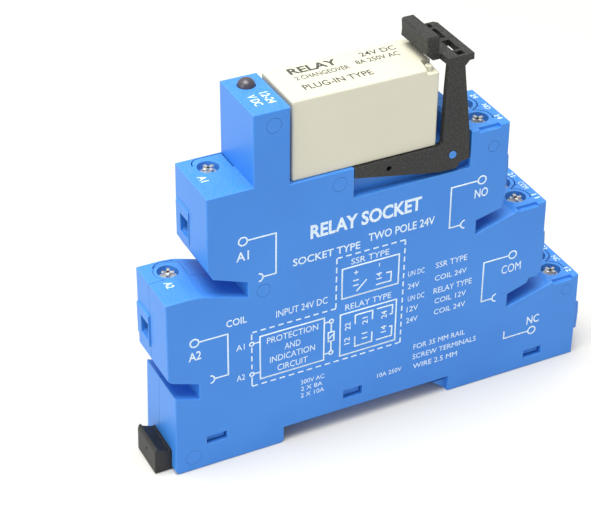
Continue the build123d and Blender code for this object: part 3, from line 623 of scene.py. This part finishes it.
def screw_tree():
    """A cheese head with a cross recess and slot over a threaded shank, head top at 0."""
    tree = bpy.data.node_groups.new("terminal_screw", "GeometryNodeTree")
    for label in ("Head radius", "Head height", "Chamfer", "Recess width", "Recess reach", "Recess depth",
                  "Shank radius", "Shank length", "Thread pitch"):
        tree.interface.new_socket(label, in_out="INPUT", socket_type="NodeSocketFloat")
    tree.interface.new_socket("Metal", in_out="INPUT", socket_type="NodeSocketMaterial")
    tree.interface.new_socket("Geometry", in_out="OUTPUT", socket_type="NodeSocketGeometry")
    given, result = tree.nodes.new("NodeGroupInput"), tree.nodes.new("NodeGroupOutput")
    straight = maths(tree, "SUBTRACT", (given, "Head height"), (given, "Chamfer"))
    under = maths(tree, "MULTIPLY", (given, "Head height"), -1.0)
    rim = maths(tree, "MULTIPLY", (given, "Chamfer"), -1.0)
    small = maths(tree, "SUBTRACT", (given, "Head radius"), (given, "Chamfer"))
    head = cone(tree, (given, "Head radius"), (given, "Head radius"), (straight, 0), (under, 0))
    brim = cone(tree, (given, "Head radius"), (small, 0), (given, "Chamfer"), (rim, 0))
    solid = tree.nodes.new("GeometryNodeMeshBoolean")
    solid.operation = "UNION"
    wire(tree, head, "Geometry", solid, "Mesh")
    wire(tree, brim, "Geometry", solid, "Mesh")
    cutters = tree.nodes.new("GeometryNodeMeshBoolean")
    cutters.operation = "UNION"
    double_reach = maths(tree, "MULTIPLY", (given, "Recess reach"), 2.0)
    double_deep = maths(tree, "MULTIPLY", (given, "Recess depth"), 2.0)
    for first, second in (("X", "Y"), ("Y", "X")):
        size = tree.nodes.new("ShaderNodeCombineXYZ")
        wire(tree, double_reach, 0, size, first)
        wire(tree, given, "Recess width", size, second)
        wire(tree, double_deep, 0, size, "Z")
        bar = tree.nodes.new("GeometryNodeMeshCube")
        wire(tree, size, "Vector", bar, "Size")
        wire(tree, bar, "Mesh", cutters, "Mesh")
    slot_size = tree.nodes.new("ShaderNodeCombineXYZ")
    slot_size.inputs["X"].default_value = SLOT_LENGTH
    wire(tree, given, "Recess width", slot_size, "Y")
    wire(tree, given, "Recess depth", slot_size, "Z")
    slot_bar = tree.nodes.new("GeometryNodeMeshCube")
    wire(tree, slot_size, "Vector", slot_bar, "Size")
    wire(tree, slot_bar, "Mesh", cutters, "Mesh")
    pit = cone(tree, PIT_LOW, PIT_HIGH, PIT_HEIGHT, PIT_Z, 24)
    wire(tree, pit, "Geometry", cutters, "Mesh")
    cut = tree.nodes.new("GeometryNodeMeshBoolean")
    cut.operation = "DIFFERENCE"
    wire(tree, solid, "Mesh", cut, "Mesh 1")
    wire(tree, cutters, "Mesh", cut, "Mesh 2")
    foot = maths(tree, "SUBTRACT", (under, 0), (given, "Shank length"))
    long_shank = maths(tree, "ADD", (given, "Shank length"), SHANK_LAP)
    root_radius = maths(tree, "SUBTRACT", (given, "Shank radius"), THREAD_DEEP)
    shank = cone(tree, (root_radius, 0), (root_radius, 0), (long_shank, 0), (foot, 0), 32)
    helix = tree.nodes.new("GeometryNodeCurveSpiral")
    helix.inputs["Resolution"].default_value = 24
    turns = maths(tree, "DIVIDE", (given, "Shank length"), (given, "Thread pitch"))
    wire(tree, turns, 0, helix, "Rotations")
    wire(tree, root_radius, 0, helix, "Start Radius")
    wire(tree, root_radius, 0, helix, "End Radius")
    wire(tree, given, "Shank length", helix, "Height")
    drop = tree.nodes.new("GeometryNodeTransform")
    fall = tree.nodes.new("ShaderNodeCombineXYZ")
    wire(tree, foot, 0, fall, "Z")
    wire(tree, helix, "Curve", drop, "Geometry")
    wire(tree, fall, "Vector", drop, "Translation")
    ridge = tree.nodes.new("GeometryNodeCurvePrimitiveCircle")
    ridge.inputs["Resolution"].default_value = 4
    ridge.inputs["Radius"].default_value = RIDGE_RADIUS
    thread = tree.nodes.new("GeometryNodeCurveToMesh")
    thread.inputs["Fill Caps"].default_value = True
    wire(tree, drop, "Geometry", thread, "Curve")
    wire(tree, ridge, "Curve", thread, "Profile Curve")
    whole = tree.nodes.new("GeometryNodeJoinGeometry")
    for part, output in ((cut, "Mesh"), (shank, "Geometry"), (thread, "Mesh")):
        wire(tree, part, output, whole, "Geometry")
    real = tree.nodes.new("GeometryNodeRealizeInstances")
    wire(tree, whole, "Geometry", real, "Geometry")
    paint = tree.nodes.new("GeometryNodeSetMaterial")
    wire(tree, real, "Geometry", paint, "Geometry")
    wire(tree, given, "Metal", paint, "Material")
    wire(tree, paint, "Geometry", result, "Geometry")
    return tree


screw_maker = bpy.data.objects.new("screw_maker", bpy.data.meshes.new("screw_maker"))
bpy.context.collection.objects.link(screw_maker)
settle(screw_maker, screw_tree(), Head_radius=1.95 * MM, Head_height=1.8 * MM, Chamfer=0.28 * MM,
       Recess_width=0.55 * MM, Recess_reach=1.15 * MM, Recess_depth=1.1 * MM, Shank_radius=1.45 * MM,
       Shank_length=4.75 * MM, Thread_pitch=0.5 * MM, Metal=nickel)
for name, turn in RECESS_TURN.items():
    low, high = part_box(f"terminal_screw_{name}")
    mesh = screw_maker.data.copy()
    place = Matrix.Translation(((low.x + high.x) / 2, (low.y + high.y) / 2, high.z))
    mesh.transform(place @ Matrix.Rotation(math.radians(turn), 4, "Z"))
    mesh.shade_smooth()
    mesh.set_sharp_from_angle(angle=math.radians(35))
    piece = bpy.data.objects.new(f"screw_{name}", mesh)
    bpy.context.collection.objects.link(piece)
    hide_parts(f"terminal_screw_{name}")
    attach(piece, f"screw_{name}")
bpy.data.objects.remove(screw_maker)


# ---- marks printed on the tier tops ----
# The terminal designations, printed beside each screw in the same white ink.
TOWER_TOP = 70.1 * MM


def top_words(name, lines, z):
    """Words on an upward face of the housing that read from the rear edge to the front."""
    turned = [(words, -y, x, cap, width, 0, bold) for words, x, y, cap, width, bold in lines]
    printed_words(name, turned, (0, 0, z), (0, -1, 0), (1, 0, 0), white_ink, "socket")


def tier_top(name):
    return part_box(f"terminal_screw_{name}")[1].z + HEAD_DOWN


top_words("a1_lettering", [("A1", -30.9, -0.3, 1.5, 1.9, PLAIN)], tier_top("a1"))
top_words("a2_lettering", [("A2", -38.4, -1.1, 1.5, 1.9, PLAIN)], tier_top("a2"))
NUMBER_Y, NUMBER_TALL = 4.4, 1.15
contact_tiers = [("NO", 27.2, 1.9, PLAIN, "14", "24"), ("COM", 37.1, 2.7, THIN, "11", "21"),
                 ("NC", 46.6, 1.9, PLAIN, "12", "22")]
for title, x, title_width, bold, front, rear in contact_tiers:
    tier_words = [(rear, x, NUMBER_Y, NUMBER_TALL, 1.5, PLAIN), (front, x, -NUMBER_Y, NUMBER_TALL, 1.5, PLAIN)]
    tier_words.insert(1, (title, x, 0.0, NUMBER_TALL, title_width, bold))
    top_words(f"{title.lower()}_lettering", tier_words, tier_top(front))
tower_words = [("12-24", -19.1, -2.2, 1.6, 4.1, PLAIN), ("V DC", -21.6, -2.2, 1.6, 3.9, PLAIN)]
top_words("tower_lettering", tower_words, TOWER_TOP)


# ---- clamp cages, contact strips and rail spring ----
# Zinc-plated steel cages rise with the screws and pinch the wire against a tinned copper strip.
# The latch spring is drawn wire.
zinc = plated_metal("zinc_plate", (0.62, 0.62, 0.58), (0.46, 0.45, 0.40), 0.34)
finish_node(zinc, *[f"clamp_cage_{name}" for name in RECESS_TURN])
tinned_copper = plated_metal("tinned_copper", (0.80, 0.52, 0.34), (0.62, 0.36, 0.22), 0.30)
finish_node(tinned_copper, *[f"contact_strip_{name}" for name in ("14", "24", "11", "21", "12", "22")],
            "coil_strip_a1", "coil_strip_a2")
spring_wire = plated_metal("spring_wire", (0.56, 0.56, 0.57), (0.36, 0.36, 0.38), 0.28)


def spring_tree():
    """A plain coil of round wire, wound up Z from 0."""
    tree = bpy.data.node_groups.new("coil_of_wire", "GeometryNodeTree")
    for label in ("Turns", "Coil radius", "Length", "Wire radius"):
        tree.interface.new_socket(label, in_out="INPUT", socket_type="NodeSocketFloat")
    tree.interface.new_socket("Metal", in_out="INPUT", socket_type="NodeSocketMaterial")
    tree.interface.new_socket("Geometry", in_out="OUTPUT", socket_type="NodeSocketGeometry")
    given, result = tree.nodes.new("NodeGroupInput"), tree.nodes.new("NodeGroupOutput")
    helix = tree.nodes.new("GeometryNodeCurveSpiral")
    helix.inputs["Resolution"].default_value = 40
    for label, entry in (("Turns", "Rotations"), ("Coil radius", "Start Radius"),
                         ("Coil radius", "End Radius"), ("Length", "Height")):
        wire(tree, given, label, helix, entry)
    profile = tree.nodes.new("GeometryNodeCurvePrimitiveCircle")
    profile.inputs["Resolution"].default_value = 12
    wire(tree, given, "Wire radius", profile, "Radius")
    tube = tree.nodes.new("GeometryNodeCurveToMesh")
    tube.inputs["Fill Caps"].default_value = True
    wire(tree, helix, "Curve", tube, "Curve")
    wire(tree, profile, "Curve", tube, "Profile Curve")
    real = tree.nodes.new("GeometryNodeRealizeInstances")
    wire(tree, tube, "Mesh", real, "Geometry")
    paint = tree.nodes.new("GeometryNodeSetMaterial")
    wire(tree, real, "Geometry", paint, "Geometry")
    wire(tree, given, "Metal", paint, "Material")
    wire(tree, paint, "Geometry", result, "Geometry")
    return tree


spring_low, spring_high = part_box("latch_spring")
SPRING_WIRE = 0.25 * MM
spring = bpy.data.objects.new("rail_latch_spring", bpy.data.meshes.new("rail_latch_spring"))
bpy.context.collection.objects.link(spring)
coil_radius = (spring_high.z - spring_low.z) / 2 - SPRING_WIRE
settle(spring, spring_tree(), Turns=7.0, Coil_radius=coil_radius,
       Length=spring_high.x - spring_low.x - 2 * SPRING_WIRE, Wire_radius=SPRING_WIRE, Metal=spring_wire)
middle = (spring_low + spring_high) / 2
spring_place = Matrix.Translation((spring_low.x + SPRING_WIRE, middle.y, middle.z))
spring.data.transform(spring_place @ Matrix.Rotation(math.pi / 2, 4, "Y"))
spring.data.shade_smooth()
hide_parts("latch_spring")
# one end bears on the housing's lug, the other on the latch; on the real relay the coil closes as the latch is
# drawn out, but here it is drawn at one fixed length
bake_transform(spring)


# ---- indicator ----
# A smoked clear dome in the tower's top, over a green light on the circuit board.
# The board carries the coil's rectifier, surge diode, resistor and capacitor.
lens_low, lens_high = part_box("indicator_lens")
lens_x, lens_y = (lens_low.x + lens_high.x) / 2, (lens_low.y + lens_high.y) / 2
LENS_RADIUS = (lens_high.x - lens_low.x) / 2
RIM_Z = TOWER_TOP + 0.05 * MM
DOME_SHARE, DOME_STEPS, LENS_SIDES = 0.985, 12, 48
lens_profile = [(LENS_RADIUS, lens_low.z), (LENS_RADIUS, RIM_Z)]
for step in range(1, DOME_STEPS):
    a = math.radians(90 * step / DOME_STEPS)
    lens_profile.append((LENS_RADIUS * DOME_SHARE * math.cos(a), RIM_Z + (lens_high.z - RIM_Z) * math.sin(a)))


def turned_dome(name, profile, x, y, top):
    """A solid of revolution about a vertical axis at x, y, from (radius, height) pairs up to its tip."""
    shape = bmesh.new()
    rings = []
    for radius, z in profile:
        angles = [2 * math.pi * i / LENS_SIDES for i in range(LENS_SIDES)]
        circle = [(x + radius * math.cos(a), y + radius * math.sin(a), z) for a in angles]
        rings.append([shape.verts.new(point) for point in circle])
    for lower, upper in zip(rings, rings[1:]):
        for i in range(LENS_SIDES):
            after = (i + 1) % LENS_SIDES
            shape.faces.new((lower[i], lower[after], upper[after], upper[i]))
    tip = shape.verts.new((x, y, top))
    for i in range(LENS_SIDES):
        shape.faces.new((rings[-1][i], rings[-1][(i + 1) % LENS_SIDES], tip))
    shape.faces.new(list(reversed(rings[0])))
    mesh = bpy.data.meshes.new(name)
    shape.to_mesh(mesh)
    shape.free()
    mesh.shade_smooth()
    mesh.set_sharp_from_angle(angle=math.radians(40))
    piece = bpy.data.objects.new(name, mesh)
    bpy.context.collection.objects.link(piece)
    return piece


smoked = uneven_film("smoked_lens", (0.050, 0.043, 0.060), (0.075, 0.065, 0.085), (500.0, 2.0),
                     0.35, 0.65, 0.32)
smoked_shader = smoked.node_tree.nodes["Principled BSDF"]
smoked_shader.inputs["Coat Weight"].default_value = 0.2
smoked_shader.inputs["Coat Roughness"].default_value = 0.25
lens = turned_dome("indicator_dome", lens_profile, lens_x, lens_y, lens_high.z)
lens.data.materials.append(smoked)
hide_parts("indicator_lens")
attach(lens, "socket")

green_board = moulded_plastic(
    "green_board", colour=(0.03, 0.20, 0.08), deeper=(0.02, 0.15, 0.06), rubbed=(0.10, 0.35, 0.16),
    grain=2500.0, depth=0.2, shine=0.32, radius=0.03, wear=0.3, dust=0.05)
finish_node(green_board, "circuit_board")
led_epoxy = moulded_plastic(
    "led_epoxy", colour=(0.08, 0.50, 0.14), deeper=(0.06, 0.42, 0.11), rubbed=(0.20, 0.65, 0.25),
    grain=2000.0, depth=0.05, shine=0.15, radius=0.03, wear=0.1, dust=0.0)
finish_node(led_epoxy, "indicator_led")
black_epoxy = moulded_plastic(
    "black_epoxy", colour=(0.02, 0.02, 0.02), deeper=(0.015, 0.015, 0.015), rubbed=(0.08, 0.08, 0.08),
    grain=7000.0, depth=0.4, shine=0.45, radius=0.05, wear=0.5, dust=0.05)
finish_node(black_epoxy, "bridge_rectifier", "surge_diode")
resistor_lacquer = moulded_plastic(
    "resistor_lacquer", colour=(0.55, 0.42, 0.28), deeper=(0.48, 0.36, 0.23), rubbed=(0.66, 0.55, 0.42),
    grain=3000.0, depth=0.2, shine=0.38, radius=0.05, wear=0.4, dust=0.03)
finish_node(resistor_lacquer, "series_resistor")
capacitor_lacquer = moulded_plastic(
    "capacitor_lacquer", colour=(0.55, 0.18, 0.04), deeper=(0.46, 0.14, 0.03), rubbed=(0.70, 0.32, 0.14),
    grain=2500.0, depth=0.15, shine=0.22, radius=0.05, wear=0.3, dust=0.03)
finish_node(capacitor_lacquer, "filter_capacitor")


# ---- plug-in relay ----
# A sealed relay in an ivory moulded cover: small radii on its edges and a vent nub at one corner.
# Its base, pins, coil and contacts are inside.
cover_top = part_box("relay_cover")[1].z
ivory = moulded_plastic(
    "ivory_polyester", colour=(0.655, 0.635, 0.535), deeper=(0.630, 0.612, 0.515), rubbed=(0.78, 0.77, 0.70),
    grain=5200.0, depth=0.12, shine=0.36, radius=0.25, wear=0.25, dust=0.02)
finish_node(ivory, "relay_cover")

black_ink = uneven_film("black_ink", (0.10, 0.10, 0.10), (0.03, 0.03, 0.03), (5200.0, 3.0), 0.35, 0.65, 0.5)
relay_words = [
    ("RELAY", -7.6, 3.6, 2.2, 9.6, 0, HEAVY), ("24V DC", 5.6, 3.9, 1.6, 7.2, 0, PLAIN),
    ("8A 250V AC", 4.4, 1.6, 1.5, 8.8, 0, PLAIN), ("2 CHANGEOVER", -7.0, 0.9, 1.4, 10.6, 0, PLAIN),
    ("PLUG-IN TYPE", -5.7, -2.6, 1.8, 13.6, 0, PLAIN),
]
printed_words("relay_lettering", relay_words, (0, 0, cover_top), (1, 0, 0), (0, 1, 0), black_ink,
              "relay")

base_resin = moulded_plastic(
    "relay_base_resin", colour=(0.03, 0.03, 0.032), deeper=(0.02, 0.02, 0.022), rubbed=(0.10, 0.10, 0.10),
    grain=6000.0, depth=0.3, shine=0.45, radius=0.06, wear=0.4, dust=0.05)
finish_node(base_resin, "relay_base")
bobbin_nylon = moulded_plastic(
    "bobbin_nylon", colour=(0.70, 0.68, 0.60), deeper=(0.64, 0.62, 0.54), rubbed=(0.80, 0.79, 0.74),
    grain=4000.0, depth=0.2, shine=0.4, radius=0.06, wear=0.2, dust=0.0)
finish_node(bobbin_nylon, "coil_bobbin")
card_nylon = moulded_plastic(
    "card_nylon", colour=(0.74, 0.74, 0.71), deeper=(0.69, 0.69, 0.66), rubbed=(0.84, 0.84, 0.82),
    grain=4000.0, depth=0.2, shine=0.4, radius=0.06, wear=0.2, dust=0.0)
finish_node(card_nylon, "pusher_card")
tinned_pin = plated_metal("tinned_pin", (0.76, 0.76, 0.74), (0.60, 0.60, 0.58), 0.26)
finish_node(tinned_pin, "coil_pins", "common_pins")
enamelled_wire = plated_metal("enamelled_wire", (0.70, 0.28, 0.10), (0.52, 0.18, 0.06), 0.30, scratch=0.8)
finish_node(enamelled_wire, "coil_winding")
plated_iron = plated_metal("plated_iron", (0.52, 0.52, 0.52), (0.40, 0.40, 0.40), 0.36)
finish_node(plated_iron, "iron_core", "yoke", "armature")
spring_bronze = plated_metal("spring_bronze", (0.82, 0.62, 0.40), (0.66, 0.46, 0.27), 0.28)
for pole in (1, 2):
    finish_node(spring_bronze, f"moving_contact_{pole}", f"no_contact_{pole}", f"nc_contact_{pole}")


# ---- release clip and rail latch ----
# Charcoal glass-filled plastic with a coarse spark-eroded grain.
# The clip turns on two pins of the housing; the latch slides in a channel under the coil side.
charcoal = moulded_plastic(
    "charcoal_polyamide", colour=(0.017, 0.018, 0.019), deeper=(0.011, 0.012, 0.013),
    rubbed=(0.085, 0.085, 0.083), grain=2900.0, depth=1.0, shine=0.55, radius=0.12, wear=0.4, dust=0.04, fleck=0.45)
finish_node(charcoal, "release_clip")
latch_black = moulded_plastic(
    "latch_black", colour=(0.010, 0.010, 0.011), deeper=(0.007, 0.007, 0.008), rubbed=(0.060, 0.060, 0.060),
    grain=2900.0, depth=0.8, shine=0.50, radius=0.12, wear=0.5, dust=0.02, fleck=0.25)
finish_node(latch_black, "rail_latch")
